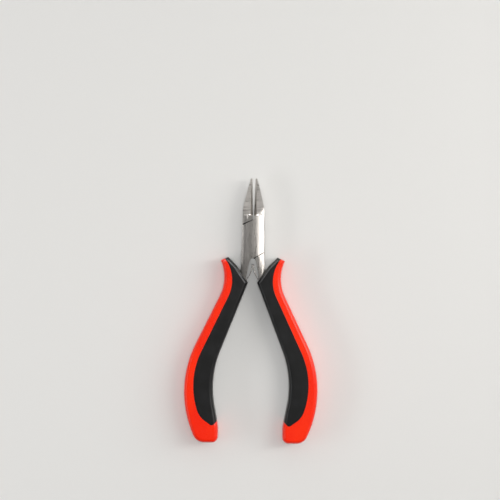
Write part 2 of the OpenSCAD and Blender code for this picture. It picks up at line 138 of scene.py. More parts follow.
class NIPPERS_PG_jaws(PropertyGroup):
    opening: turn("Rest opening", "Angle between the cutting edges", 3)
    shoulder_y: mm("Shoulder height", "Pivot to where the taper starts", 13)
    shoulder_w: mm("Shoulder width", "Width across the shoulders", 9.2)
    tip_w: mm("Tip width", "Width across both tips at rest", 2.9)
    bow: mm("Side bow", "Outward bow of each tapered side", 0.12)
    tip_round: mm("Tip rounding", "Rounding of the outer corner of each tip", 0.4)
    tip_t: mm("Tip thickness", "Thickness of the tips", 2.4)
    facet_y: mm("Ledge height", "Pivot to where the facets start", 10.2)
    facet_step: mm("Facet step", "Facets below the crown at the ledge", 0.75)
    ledge_r: mm("Ledge radius", "Radius of the run-out at the ledge", 0.6)
    bevel_w: mm("Bevel width", "Width beside each cutting edge", 1.05)
    land: mm("Edge land", "Height of the flat on each cutting edge", 0.3)
    gap: mm("Edge gap", "Gap between the closed cutting edges", 0.06)
    relief_r: mm("Relief radius", "Radius of the notch between the jaws", 0.6)
    relief_y: mm("Relief height", "Pivot to the notch's middle", 9)


class NIPPERS_PG_arms(PropertyGroup):
    crotch: mm("Crotch", "Half gap between the arms at the crotch", 0.95)
    inner_x: mm("Inner bend", "Half gap where the arms straighten", 1.5)
    inner_y: mm("Inner bend depth", "Pivot to where the arms straighten", 10)
    thin_y: mm("Thinning", "Pivot to where the head starts to thin", 5)
    corner_y: mm("Outer corner", "Pivot to the arm's outer corner", 12.7)
    thick: mm("Arm thickness", "Thickness where it enters its grip", 4.8)
    end_y: mm("Arm end", "Pivot to the step to the tang", 18.3)
    tang_w: mm("Tang width", "Width of a tang", 3.2)
    tang_t: mm("Tang thickness", "Thickness of a tang", 3.6)
    tang_wall: mm("Tang wall", "Inner face of a grip to its tang", 2.3)
    tang_stop: mm("Tang stop", "Tang's end to the lower end of the grip", 18)
    tang_fit: mm("Tang fit", "Clearance round a tang", 0.03)
    mouth: mm("Mouth", "Clearance round an arm in its grip", 0.35)
    shoulder: mm("Tang shoulder", "Length of the shoulder from arm to tang", 1.2)
    seat_start: mm("Seat start", "Leaf's bend to where its seat starts", 0.6)


class NIPPERS_PG_springs(PropertyGroup):
    thick: mm("Leaf thickness", "Thickness of a leaf", 0.35)
    width: mm("Leaf width", "Width of a leaf", 3.2)
    tip_gap: mm("Tip gap", "Gap between the leaves' tips", 0.24)
    tip_y: mm("Tip depth", "Pivot to the tips of the leaves", 11.1)
    radius: mm("Leaf bend", "Bend radius of a leaf", 10.5)
    bend: turn("Leaf sweep", "Angle of a leaf's bend", 36)
    foot: mm("Foot", "End of the bend to the leaf's rivet", 3.2)
    corner: mm("Tip corners", "Rounding of a tip's corners", 0.5)
    edge: mm("Edge rounding", "How far a leaf's edges are broken", 0.06)
    hole_play: mm("Hole play", "Radial clearance of the leaf on its rivet", 0.08)
    room: mm("Room", "Room beside a leaf at its rivet", 0.25)
    pocket: mm("Pocket", "Clearance round a leaf's foot", 0.15)
    pocket_rise: mm("Pocket rise", "Rise of the pocket above the foot", 2)
    swing: turn("Swing", "Angle of a leaf's swing in its pocket", 6.5)
    rivet_r: mm("Rivet shank", "Radius of the shank", 0.6)
    rivet_head_r: mm("Rivet head", "Radius of the domed head", 1.15)
    rivet_head_h: mm("Rivet head height", "Height of that head", 0.45)
    rivet_depth: mm("Rivet depth", "Depth in the tang", 2.3)


class NIPPERS_PG_pivot(PropertyGroup):
    shank_r: mm("Shank radius", "Radius of the shank", 2)
    head_r: mm("Head radius", "Radius of its countersunk ends", 2.6)
    head_depth: mm("Head depth", "Depth of those ends below the crown", 0.8)
    play: mm("Play", "Radial running clearance in a lever", 0.03)


class NIPPERS_PG_grips(PropertyGroup):
    waist_x: mm("Waist", "Outside half width at the waist", 12.3)
    waist_y: mm("Waist depth", "Pivot to the waist", 16.9)
    waist_r: mm("Waist radius", "Radius of the waist", 18.4)
    stop_y: mm("Finger stop", "Pivot to its outer point", 9.4)
    top_x: mm("Stop corner", "Half width to the stop's top corner", 10.7)
    top_y: mm("Stop corner depth", "Pivot to that top corner", 7.9)
    slant_x: mm("End face bend", "Half width to the end face's bend", 6.85)
    slant_y: mm("End face bend depth", "Pivot to that bend", 11.9)
    corner_x: mm("Inner corner", "Half width to the inner corner", 2)
    corner_y: mm("Inner corner depth", "Pivot to that inner corner", 18.95)
    belly_up: mm("Belly height", "Lower end to the widest part", 22.4)
    belly_r: mm("Belly radius", "Outside radius of the belly", 46.4)
    belly_w: mm("Belly width", "Width of the grip across the belly", 12.4)
    inside_r: mm("Inside radius", "Inside radius of the belly", 43.6)
    inside_up: mm("Inside rise", "Its middle above the widest part", 1.5)
    end_outer_r: mm("End outer radius", "Radius of the lower outer corner", 5)
    end_inner_r: mm("End inner radius", "Radius of the lower inner corner", 2.6)
    end_hook: mm("End hook", "How far the lower end hooks in", 2.5)
    ease_r: mm("Ease radius", "Radius of the easing above the lower end", 12)
    ease_up: mm("Ease height", "Its middle above the lower end", 5.4)
    rim_in: mm("Rim width", "Reach of the rims in from the sides", 1.6)
    rim_down: mm("Rim depth", "Reach of the rims down from the faces", 2.4)
    edge: mm("Edge rounding", "Rounding of the other corners", 0.22)


class NIPPERS_PG_pads(PropertyGroup):
    band_waist: mm("Band at waist", "Width of the outer band there", 3.5)
    band_belly: mm("Band at belly", "Width of the outer band there", 4)
    waist_r: mm("Waist edge", "Radius of the pad's edge there", 15.8)
    waist_down: mm("Waist edge drop", "Its middle below the waist", 1.3)
    belly_r: mm("Belly edge", "Radius of the pad's edge there", 34.3)
    belly_up: mm("Belly edge rise", "Its middle above the widest part", 2.5)
    corner_r: mm("Lower corner", "Radius of the lower outer corner", 9)
    corner_turn: turn("Corner start", "Where that corner starts, below level", 18.5)
    slope: turn("Lower edge", "Its slope from upright", 54)
    slope_l: mm("Lower edge length", "Length of its straight part", 3)
    toe_r: mm("Toe radius", "Radius of the pad's lowest point", 1.2)
    start_turn: turn("Edge start", "Where the waist edge starts", 130)
    heel_turn: turn("Toe end", "Where the toe ends, inside", -135)
    parting: mm("Parting gap", "Gap between shell and pad", 0.06)


class NIPPERS_PG_colours(PropertyGroup):
    steel: shade("Steel", "Ground steel of the levers", (0.6, 0.575, 0.55))
    steel_deep: shade("Steel, deep", "Darker streaks of the ground steel", (0.47, 0.45, 0.43))
    # Near-black colour inside the lap joint: painted shade of the narrow seams, and dark oily steel
    # there
    steel_dark: shade("Steel, inside", "Unground faces inside the joint", (0.025, 0.024, 0.024))
    spring: shade("Spring steel", "Rolled strip of the leaves", (0.66, 0.65, 0.63))
    red: shade("Red plastic", "Hard plastic of the grip shells", (0.95, 0.026, 0.002))
    red_deep: shade("Red plastic, deep", "Deeper red in its flow marks", (0.9, 0.018, 0.002))
    black: shade("Black rubber", "Soft moulding of the grip pads", (0.004, 0.0042, 0.0046))
    # Greyer colour of the blooming patches, also laid on every rim as a painted sheen
    black_bloom_and_sheen: shade("Black rubber, worn", "Greyer bloom on its rims", (0.009, 0.0096, 0.011))
    floor: shade("Floor", "Plain pale floor", (0.73, 0.73, 0.72))


GROUPS = {
    "nippers_head": NIPPERS_PG_head,
    "nippers_jaws": NIPPERS_PG_jaws,
    "nippers_arms": NIPPERS_PG_arms,
    "nippers_springs": NIPPERS_PG_springs,
    "nippers_pivot": NIPPERS_PG_pivot,
    "nippers_grips": NIPPERS_PG_grips,
    "nippers_pads": NIPPERS_PG_pads,
    "nippers_colours": NIPPERS_PG_colours,
}


def sizes(name):
    """The scene's settings of one group, such as head or grips."""
    return getattr(bpy.context.scene, f"nippers_{name}")


# ---- flat outlines


def point(x, y):
    return Vector((x, y))


def polar(centre, radius, angle):
    return centre + radius * point(cos(angle), sin(angle))


def arc(centre, radius, start, end, steps, first=0):
    """Points along an arc; first=1 leaves out its first point, where it carries on another."""
    return [
        polar(centre, radius, start + (end - start) * i / steps)
        for i in range(first, steps + 1)
    ]


def straight(p, q, steps):
    """Points from p towards q, without q."""
    return [p.lerp(q, i / steps) for i in range(steps)]


def bowed(p, q, sag, steps):
    """Points of a shallow bow from p to q that stands out by sag on its left."""
    left = (q - p).orthogonal().normalized()
    parts = [i / steps for i in range(steps + 1)]
    return [p.lerp(q, part) + 4 * sag * part * (1 - part) * left for part in parts]


def heading(v):
    return atan2(v.y, v.x)


def cross_tangent(c1, r1, c2, r2, way):
    """Angle on circle 1 where a line that crosses between two circles touches it."""
    return heading(c2 - c1) + way * acos((r1 + r2) / (c2 - c1).length)


def point_tangent(p, centre, radius):
    """Angle on a circle where a line from p, above it, touches its right side."""
    return heading(p - centre) - acos(radius / (p - centre).length)


def rectangle(half_x, low_y, high_y):
    corners = ((-half_x, low_y), (-half_x, high_y), (half_x, high_y), (half_x, low_y))
    return [point(x, y) for x, y in corners]


def moved_in(outline, distance):
    """A closed clockwise outline with every edge moved inwards."""
    normals = []
    for p, q in zip(outline, outline[1:] + outline[:1]):
        way = (q - p).normalized()
        normals.append(point(way.y, -way.x))
    moved = []
    for i, p in enumerate(outline):
        mean = (normals[i - 1] + normals[i]).normalized()
        moved.append(p + mean * (distance / mean.dot(normals[i])))
    return moved


def side_x(y):
    """Right-hand side of the head at a height y."""
    head = sizes("head")
    return head.width / 2 - y * tan(head.lean)


def seam_lines():
    """Each seam line of the lap joint as its height in the middle and its slope."""
    head = sizes("head")
    return {
        "upper_cheek": (head.upper_y, -tan(head.upper_slope)),
        "upper_root": (head.upper_y + head.upper_gap, -tan(head.upper_slope - head.upper_wedge)),
        "lower_cheek": (-head.lower_y, tan(head.lower_slope)),
        "lower_root": (-head.lower_y - head.lower_gap, tan(head.lower_slope)),
    }


def seam_at(line, x):
    return point(x, line[0] + line[1] * x)


def seam_end(line):
    """Where a seam line meets the head's right side."""
    head = sizes("head")
    x = (head.width / 2 - line[0] * tan(head.lean)) / (1 + line[1] * tan(head.lean))
    return seam_at(line, x)


def edge_x(y):
    """Right cutting edge at rest at a height y."""
    jaws = sizes("jaws")
    return y * tan(jaws.opening / 2) + jaws.gap / 2


def on_edge(y):
    return point(edge_x(y), y)


class Leaf:
    """The right leaf's middle line: its tip, its bend and its straight foot."""

    def __init__(self):
        s = sizes("springs")
        self.radius, self.bend = s.radius, s.bend
        self.centre = point((s.tip_gap + s.thick) / 2 + s.radius, -s.tip_y)
        self.bend_end = polar(self.centre, -s.radius, s.bend)
        self.along = point(sin(s.bend), -cos(s.bend))
        self.outward = point(cos(s.bend), sin(s.bend))
        self.seat = s.thick / 2 + s.room

    def foot(self, s, o):
        """A point s along the foot and o outwards from its middle line."""
        return self.bend_end + s * self.along + o * self.outward

    def bent(self, s, o):
        """The same along the whole leaf, where s is below 0 on the bend."""
        if s >= 0:
            return self.foot(s, o)
        return polar(self.centre, o - self.radius, self.bend + s / self.radius)

    def rivet_place(self):
        """Places a piece on the leaf's rivet, with Z along the rivet, towards the tang."""
        p = self.foot(sizes("springs").foot, 0)
        turned = Matrix.Rotation(self.bend, 4, "Z") @ Matrix.Rotation(pi / 2, 4, "Y")
        return Matrix.Translation((p.x, p.y, 0)) @ turned


class Grip:
    """Middles of the arcs that shape the right grip, and its outlines."""

    def __init__(self):
        s, pads = sizes("grips"), sizes("pads")
        self.s, self.pads = s, pads
        self.waist = point(s.waist_x + s.waist_r, -s.waist_y)
        self.belly = point(HALF_SPREAD - s.belly_r, s.belly_up - HANDLE_REACH)
        belly_inside = HALF_SPREAD - s.belly_w
        self.inner = point(belly_inside - s.inside_r, self.belly.y + s.inside_up)
        end_inside = belly_inside - s.end_hook
        end_y = s.end_outer_r - HANDLE_REACH
        reach = sqrt((s.belly_r - s.end_outer_r) ** 2 - (end_y - self.belly.y) ** 2)
        self.end_outer = point(self.belly.x + reach, end_y)
        self.end_inner = point(end_inside + s.end_inner_r, s.end_inner_r - HANDLE_REACH)
        self.ease = point(end_inside + s.ease_r, s.ease_up - HANDLE_REACH)
        self.corner = point(s.corner_x, -s.corner_y)

    def outline(self):
        """Clockwise from the top corner of the finger stop."""
        s = self.s
        stop = pi - asin((s.waist_y - s.stop_y) / s.waist_r)
        waist = cross_tangent(self.waist, s.waist_r, self.belly, s.belly_r, -1) + 2 * pi
        end = heading(self.end_outer - self.belly)
        ease = cross_tangent(self.inner, s.inside_r, self.ease, s.ease_r, 1)
        corner = point_tangent(self.corner, self.inner, s.inside_r)
        waist_end = polar(self.waist, s.waist_r, waist)
        outer = (
            [point(s.top_x, -s.top_y)]
            + arc(self.waist, s.waist_r, stop, waist, 16)
            + straight(waist_end, polar(self.belly, -s.belly_r, waist), 4)[1:]
            + arc(self.belly, s.belly_r, waist - pi, end, 30)
            + arc(self.end_outer, s.end_outer_r, end, -pi / 2, 10, first=1)
        )
        inner = (
            arc(self.end_inner, s.end_inner_r, 3 * pi / 2, pi, 8)
            + arc(self.ease, s.ease_r, pi, pi + ease, 4, first=1)
            + arc(self.inner, s.inside_r, ease, corner, 28)
            + [self.corner, point(s.slant_x, -s.slant_y)]
        )
        return outer + inner

    def pad_space(self, gap):
        """The space that the pad fills, open over the inner side, drawn in by a parting gap."""
        s, pads = self.s, self.pads
        waist = point(s.waist_x - pads.band_waist + pads.waist_r, -s.waist_y - pads.waist_down)
        belly = point(HALF_SPREAD - pads.band_belly - pads.belly_r, self.belly.y + pads.belly_up)
        start = cross_tangent(waist, pads.waist_r, belly, pads.belly_r, -1) + 2 * pi
        corner = polar(belly, pads.belly_r - pads.corner_r, -pads.corner_turn)
        corner_end = polar(corner, pads.corner_r, -pads.slope)
        toe_start = corner_end - pads.slope_l * point(sin(pads.slope), cos(pads.slope))
        toe = polar(toe_start, -pads.toe_r, -pads.slope)
        heel = polar(toe, pads.toe_r, pads.heel_turn)
        # Enough to leave the grip by its inner side
        clear = 4 * MM
        line = (
            arc(waist, pads.waist_r, pads.start_turn, start, 20)
            + arc(belly, pads.belly_r, start - pi, -pads.corner_turn, 18)
            + arc(corner, pads.corner_r, -pads.corner_turn, -pads.slope, 8, first=1)
            + arc(toe, pads.toe_r, -pads.slope, pads.heel_turn, 8)
            + [heel + point(-clear, clear), point(-s.corner_x, heel.y + clear)]
            + [point(-s.corner_x, 0)]
        )
        return moved_in(line, gap)

    def tang(self):
        """Start of the tang's inner side, its radius, its lean and the angle where it ends."""
        arms, leaf, springs = sizes("arms"), Leaf(), sizes("springs")
        top = leaf.foot(springs.foot + springs.width / 2 + springs.room, leaf.seat)
        radius = self.s.inside_r + arms.tang_wall
        lean = point_tangent(top, self.inner, radius)
        end = asin((arms.tang_stop - HANDLE_REACH - self.inner.y) / radius)
        return top, radius, lean, end

    def arm_outline(self):
        """Right arm and tang together, clockwise from the root."""
        arms, leaf, root = sizes("arms"), Leaf(), seam_lines()["lower_root"]
        top, radius, lean, end = self.tang()
        outwards, upwards = point(cos(lean), sin(lean)), point(-sin(lean), cos(lean))
        tang_start = top + arms.tang_w * outwards + arms.shoulder * upwards
        return (
            [seam_end(root), point(side_x(-arms.corner_y), -arms.corner_y), tang_start]
            + arc(self.inner, radius + arms.tang_w, lean, end, 12)
            + arc(self.inner, radius, end, lean, 12)
            + [top, leaf.foot(arms.seat_start, leaf.seat), point(arms.inner_x, -arms.inner_y)]
            + [seam_at(root, arms.crotch)]
        )


# ---- solids


def prism(outline, low, high, matrix=Matrix()):
    """A closed solid with that outline between two heights, then turned by a matrix."""
    bm = bmesh.new()
    face = bm.faces.new([bm.verts.new((p.x, p.y, low)) for p in outline])
    grown = bmesh.ops.extrude_face_region(bm, geom=[face])["geom"]
    lifted = [v for v in grown if isinstance(v, bmesh.types.BMVert)]
    bmesh.ops.translate(bm, verts=lifted, vec=(0, 0, high - low))
    bmesh.ops.transform(bm, matrix=matrix, verts=bm.verts)
    bmesh.ops.recalc_face_normals(bm, faces=bm.faces)
    return bm


def lathe(profile, steps, matrix=Matrix()):
    """A closed solid turned about Z from (radius, height) points that start and end on it."""
    bm = bmesh.new()
    verts = [bm.verts.new((r, 0, z)) for r, z in profile]
    edges = [bm.edges.new(pair) for pair in zip(verts, verts[1:])]
    bmesh.ops.spin(
        bm, geom=verts + edges, cent=(0, 0, 0), axis=(0, 0, 1), angle=2 * pi, steps=steps,
        use_merge=True,
    )
    bmesh.ops.remove_doubles(bm, verts=bm.verts, dist=MERGED / 4)
    bmesh.ops.recalc_face_normals(bm, faces=bm.faces)
    bmesh.ops.transform(bm, matrix=matrix, verts=bm.verts)
    return bm


def backed(bm):
    """The same solid mirrored from the front to the back."""
    bmesh.ops.scale(bm, vec=(1, 1, -1), verts=bm.verts)
    bmesh.ops.reverse_faces(bm, faces=bm.faces)
    return bm


def turned(bm, matrix):
    bmesh.ops.transform(bm, matrix=matrix, verts=bm.verts)
    return bm


def new_object(bm, name):
    mesh = bpy.data.meshes.new(name)
    bm.to_mesh(mesh)
    obj = bpy.data.objects.new(name, mesh)
    bpy.context.scene.collection.objects.link(obj)
    return obj


def cleaned(bm):
    """The same solid without its repeated points and its faces of no size."""
    bmesh.ops.remove_doubles(bm, verts=bm.verts, dist=MERGED)
    bmesh.ops.dissolve_degenerate(bm, edges=bm.edges, dist=MERGED)
    return bm


def in_order(bm):
    """The same solid with its points and faces in an order that is the same on every run."""
    verts = sorted(bm.verts, key=lambda v: tuple(v.co))
    places, index = [v.co.copy() for v in verts], {v: i for i, v in enumerate(verts)}
    rings = []
    for face in bm.faces:
        ring = [index[v] for v in face.verts]
        first = ring.index(min(ring))
        rings.append(ring[first:] + ring[:first])
    bm.clear()
    made = [bm.verts.new(place) for place in places]
    for ring in sorted(rings):
        bm.faces.new([made[i] for i in ring])
    return bm


def combined(base, tool, how):
    """base after a boolean with tool: UNION, INTERSECT or DIFFERENCE. Both are used up."""
    objects = [new_object(base, "base"), new_object(tool, "tool")]
    boolean = objects[0].modifiers.new("boolean", "BOOLEAN")
    boolean.operation, boolean.object, boolean.solver = how, objects[1], "EXACT"
    depsgraph = bpy.context.evaluated_depsgraph_get()
    base.clear()
    base.from_mesh(objects[0].evaluated_get(depsgraph).to_mesh())
    tool.free()
    for obj in objects:
        mesh = obj.data
        bpy.data.objects.remove(obj)
        bpy.data.meshes.remove(mesh)
    return cleaned(in_order(base))


def kept_below(bm, y):
    """What is left of a solid below a height y, closed where it is cut."""
    cut = bmesh.ops.bisect_plane(
        bm, geom=bm.verts[:] + bm.edges[:] + bm.faces[:], plane_co=(0, y, 0), plane_no=(0, 1, 0),
        clear_outer=True,
    )["geom_cut"]
    bmesh.ops.contextual_create(bm, geom=[e for e in cut if isinstance(e, bmesh.types.BMEdge)])
    bmesh.ops.recalc_face_normals(bm, faces=bm.faces)
    return bm


def softened(bm, width, segments, above):
    """Rounds every edge that turns by more than an angle."""
    sharp = [e for e in bm.edges if len(e.link_faces) == 2 and e.calc_face_angle(0) > above]
    bmesh.ops.bevel(
        bm, geom=sharp, offset=width, offset_type="OFFSET", segments=segments, profile=0.5,
        affect="EDGES", clamp_overlap=True, material=-1,
    )
    return cleaned(bm)


def finished(bm, name, body, replaced, material):
    """Moves a solid to the pivot's place and makes it a piece of the object."""
    turned(bm, Matrix.Translation(PIVOT))
    # A point with only two edges, one of them tiny, would leave a folded triangle
    lone, tiny = [v for v in bm.verts if len(v.link_edges) == 2], 1.5 * MERGED
    stray = [v for v in lone if min(e.calc_length() for e in v.link_edges) < tiny]
    bmesh.ops.dissolve_verts(bm, verts=stray)
    bmesh.ops.triangulate(bm, faces=[f for f in bm.faces if len(f.verts) > 4])
    for face in bm.faces:
        face.smooth = True
    for edge in bm.edges:
        edge.smooth = edge.calc_face_angle(0) < SHARP
    obj = new_object(bm, name)
    bm.free()
    obj.modifiers.new("even normals", "WEIGHTED_NORMAL").keep_sharp = True
    obj.data.materials.append(material)
    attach(obj, body)
    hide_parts(replaced)
    return obj


def crown_bar():
    """The crowned envelope of the head, curved about Y on both faces, as a long bar."""
    head = sizes("head")
    half_t = head.thick / 2
    radius = ((head.width / 2) ** 2 + head.crown**2) / (2 * head.crown)
    # The two curved faces stop just short of meeting at the bar's sides
    drop = 0.9 * half_t
    sweep, steps = acos((radius - drop) / radius), 48
    front = arc(point(0, half_t - radius), radius, pi / 2 - sweep, pi / 2 + sweep, steps)
    back = arc(point(0, radius - half_t), radius, -pi / 2 - sweep, -pi / 2 + sweep, steps)
    return prism(front + back, -FAR, FAR, UPRIGHT_XZ)


# ---- levers


def jaw_plan():
    """Right jaw seen from the front, from its cutting edge round the tip to its root."""
    jaws, root = sizes("jaws"), seam_lines()["upper_root"]
    tip_x = jaws.tip_w / 2
    round_c = point(tip_x - jaws.tip_round, JAW_REACH - jaws.tip_round)
    shoulder = point(jaws.shoulder_w / 2, jaws.shoulder_y)
    return (
        [on_edge(seam_at(root, edge_x(root[0])).y), on_edge(JAW_REACH)]
        + arc(round_c, jaws.tip_round, pi / 2, 0, 6)
        + bowed(point(tip_x, round_c.y), shoulder, jaws.bow, 10)[1:]
        + [seam_end(root)]
    )


def cheek_plan():
    """The front cheek, which joins the right jaw to the left arm."""
    jaws, arms, head, lines = sizes("jaws"), sizes("arms"), sizes("head"), seam_lines()
    left_top, left_root = seam_end(lines["upper_cheek"]), seam_end(lines["lower_root"])
    return [
        on_edge(seam_at(lines["upper_cheek"], -edge_x(head.upper_y)).y),
        on_edge(jaws.facet_y),
        point(side_x(jaws.facet_y), jaws.facet_y),
        seam_end(lines["upper_root"]),
        seam_end(lines["lower_cheek"]),
        seam_at(lines["lower_cheek"], arms.crotch / 2),
        point(-arms.crotch / 2, -head.lower_y),
        point(-arms.crotch, -head.lower_y - arms.crotch / 4),
        point(-arms.inner_x, -arms.inner_y),
        point(-side_x(-arms.corner_y), -arms.corner_y),
        point(-left_root.x, left_root.y),
        point(-left_top.x, left_top.y),
    ]


def facet_cutter():
    """What stands above a jaw's sloping facet, with a rounded run-out at the ledge."""
    head, jaws = sizes("head"), sizes("jaws")
    facet_z = head.thick / 2 - jaws.facet_step
    fall = (facet_z - jaws.tip_t / 2) / (JAW_REACH - jaws.facet_y)
    run_out = point(jaws.facet_y + jaws.ledge_r, facet_z - jaws.ledge_r * fall + jaws.ledge_r)
    side = arc(run_out, jaws.ledge_r, pi, 3 * pi / 2, 8) + [
        point(run_out.x + FAR, run_out.y - jaws.ledge_r - FAR * fall),
        point(run_out.x + FAR, FAR),
        point(jaws.facet_y, FAR),
    ]
    return prism(side, -FAR, FAR, UPRIGHT_YZ)


def bevel_cutter():
    """The bevel beside a cutting edge, from its land outwards."""
    head, jaws = sizes("head"), sizes("jaws")
    rise = head.thick / 2 - jaws.facet_step - jaws.land / 2
    base, top = jaws.land / 2, jaws.land / 2 + 2 * rise
    profile = [
        point(-jaws.bevel_w, base), point(0, base), point(2 * jaws.bevel_w, top),
        point(-jaws.bevel_w, top),
    ]
    place = Matrix.Rotation(-jaws.opening / 2, 4, "Z") @ Matrix.Translation((jaws.gap / 2, 0, 0))
    return prism(profile, -FAR, -jaws.facet_y, place @ UPRIGHT_XZ)


def arm_envelope():
    """The side view that thins the arms from the head down to where the tangs start."""
    head, arms = sizes("head"), sizes("arms")
    slope = (head.thick - arms.thick) / 2 / (arms.end_y - arms.thin_y)
    top = arms.thick / 2 + (FAR + arms.end_y) * slope
    side = [
        point(FAR, -top), point(FAR, top), point(-arms.end_y, arms.thick / 2),
        point(-arms.end_y, -arms.thick / 2),
    ]
    return prism(side, -FAR, FAR, UPRIGHT_YZ)


def pivot_profile(play):
    """Countersunk rivet, grown by play, whose cones run on past the crown."""
    pivot, head = sizes("pivot"), sizes("head")
    shank, flare = pivot.shank_r + play, pivot.head_r - pivot.shank_r
    neck = head.thick / 2 - pivot.head_depth
    top = head.thick / 2 + pivot.head_depth
    wide = shank + 2 * flare
    return [(0, -top), (wide, -top), (shank, -neck), (shank, neck), (wide, top), (0, top)]


def lever():
    """The lever seen in front: right jaw, front cheek and left arm with its tang."""
    head, jaws, arms = sizes("head"), sizes("jaws"), sizes("arms")
    deep = head.thick
    arm = Grip().arm_outline()
    bm = prism(jaw_plan(), -deep, deep)
    combined(bm, prism(cheek_plan(), head.lap / 2, deep), "UNION")
    combined(bm, prism(arm, -deep, deep, OVER), "UNION")
    combined(bm, crown_bar(), "INTERSECT")
    combined(bm, arm_envelope(), "INTERSECT")
    for make in (facet_cutter, bevel_cutter):
        combined(bm, make(), "DIFFERENCE")
        combined(bm, backed(make()), "DIFFERENCE")
    sides = 24
    notch = arc(point(0, jaws.relief_y), jaws.relief_r, 2 * pi, 2 * pi / sides, sides - 1)
    combined(bm, prism(notch, -FAR, FAR), "DIFFERENCE")
    softened(bm, head.edge, segments=2, above=radians(28))
    tang = prism(moved_in(arm, arms.tang_fit), -arms.tang_t / 2, arms.tang_t / 2, OVER)
    combined(bm, kept_below(tang, MM - arms.end_y), "UNION")
    shank = lathe(shank_profile(), SMALL_SIDES, Leaf().rivet_place())
    combined(bm, turned(shank, OVER), "DIFFERENCE")
    combined(bm, lathe(pivot_profile(sizes("pivot").play), PIVOT_SIDES), "DIFFERENCE")
    return bm


# ---- grips


def grip_body():
    """The right grip's whole form: its outline with rounded rims on both faces."""
    s, outline, steps = sizes("grips"), Grip().outline(), 9
    rim = [pi / 2 * i / steps for i in range(steps + 1)]
    front = [(s.rim_in * (1 - cos(a)), HALF_THICK - s.rim_down * (1 - sin(a))) for a in rim]
    levels = [(d, -z) for d, z in reversed(front)] + front
    bm = bmesh.new()
    rings = []
    for inwards, z in levels:
        verts = [bm.verts.new((p.x, p.y, z)) for p in moved_in(outline, inwards)]
        rings.append([bm.edges.new(pair) for pair in zip(verts, verts[1:] + verts[:1])])
    for low, high in zip(rings, rings[1:]):
        bmesh.ops.bridge_loops(bm, edges=low + high)
    for ring in (rings[0], rings[-1]):
        bmesh.ops.contextual_create(bm, geom=ring)
    bmesh.ops.recalc_face_normals(bm, faces=bm.faces)
    return bm


def grip_shell():
    """The hard shell of the right grip: the outer band and the lower end."""
    s, grip = sizes("grips"), Grip()
    bm = combined(grip_body(), prism(grip.pad_space(0), -FAR, FAR), "DIFFERENCE")
    softened(bm, s.edge, segments=3, above=radians(30))
    return combined(bm, tang_room(), "DIFFERENCE")


def tang_room():
    """Room for the tang inside the right grip."""
    arms = sizes("arms")
    half = arms.tang_t / 2 + arms.tang_fit
    room = prism(moved_in(Grip().arm_outline(), -arms.tang_fit), -half, half)
    return kept_below(room, MM - arms.end_y - arms.mouth)


def socket():
    """Room inside the right grip for the arm, its tang and the leaf with its rivet."""
    arms, springs, leaf = sizes("arms"), sizes("springs"), Leaf()
    half = arms.thick / 2 + arms.mouth
    floor = -arms.end_y - arms.mouth
    mouth = prism(moved_in(Grip().arm_outline(), -arms.mouth), -half, half)
    mouth = combined(mouth, prism(rectangle(FAR, floor, FAR), -FAR, FAR), "INTERSECT")
    side = springs.thick / 2 + springs.pocket
    swept = (springs.foot + springs.pocket_rise) * sin(springs.swing)
    head_start = springs.foot - springs.rivet_head_r - springs.pocket
    head_side = leaf.seat + springs.rivet_head_h + springs.pocket
    foot_end = springs.foot + springs.width / 2 + springs.pocket
    inner = leaf.seat + arms.mouth
    half_w = springs.width / 2 + 2 * springs.pocket
    pocket = prism(
        [
            leaf.foot(-springs.pocket_rise, inner), leaf.foot(-springs.pocket_rise, -side - swept),
            leaf.foot(head_start, -side - springs.pocket), leaf.foot(head_start, -head_side),
            leaf.foot(foot_end, -head_side), leaf.foot(foot_end, inner),
        ],
        -half_w, half_w,
    )
    return mouth, tang_room(), pocket


def grip_pad():
    """The soft pad of the right grip, with the socket for the arm."""
    s, pads = sizes("grips"), sizes("pads")
    bm = combined(grip_body(), prism(Grip().pad_space(pads.parting), -FAR, FAR), "INTERSECT")
    softened(bm, s.edge, segments=3, above=radians(30))
    for room in socket():
        combined(bm, room, "DIFFERENCE")
    return bm


# ---- springs and rivets


def leaf_spring():
    """Right leaf: a strip with a rounded, drilled foot, bent to its curve."""
    s, leaf = sizes("springs"), Leaf()
    half_w, half_t = s.width / 2, s.thick / 2
    start, steps = s.corner - s.radius * s.bend, 18
    stations = [start + (s.foot - start) * i / steps for i in range(steps)]
    outline = (
        arc(point(start, half_w - s.corner), s.corner, pi, pi / 2, 4)
        + [point(x, half_w) for x in stations[1:]]
        + arc(point(s.foot, 0), half_w, pi / 2, -pi / 2, 20)
        + [point(x, -half_w) for x in reversed(stations[1:])]
        + arc(point(start, s.corner - half_w), s.corner, -pi / 2, -pi, 4)
    )
    bm = prism(outline, -half_t, half_t)
    hole_r, sides = s.rivet_r + s.hole_play, 24
    hole = [(0, -s.thick), (hole_r, -s.thick), (hole_r, s.thick), (0, s.thick)]
    combined(bm, lathe(hole, sides, Matrix.Translation((s.foot, 0, 0))), "DIFFERENCE")
    softened(bm, s.edge, segments=2, above=radians(40))
    for x in stations[1:]:
        geom = bm.verts[:] + bm.edges[:] + bm.faces[:]
        bmesh.ops.bisect_plane(bm, geom=geom, plane_co=(x, 0, 0), plane_no=(1, 0, 0))
    cleaned(bm)
    for vert in bm.verts:
        bent = leaf.bent(vert.co.x, vert.co.z)
        vert.co = (bent.x, bent.y, vert.co.y)
    # The strip's width and thickness have changed places, which turned it inside out
    bmesh.ops.reverse_faces(bm, faces=bm.faces)
    return bm


def shank_profile():
    """Half section of a leaf rivet's shank, from under its head to its end in the tang."""
    s, seat = sizes("springs"), Leaf().seat
    end = seat + s.rivet_depth
    return [(0, -seat), (s.rivet_r, -seat), (s.rivet_r, end), (0, end)]


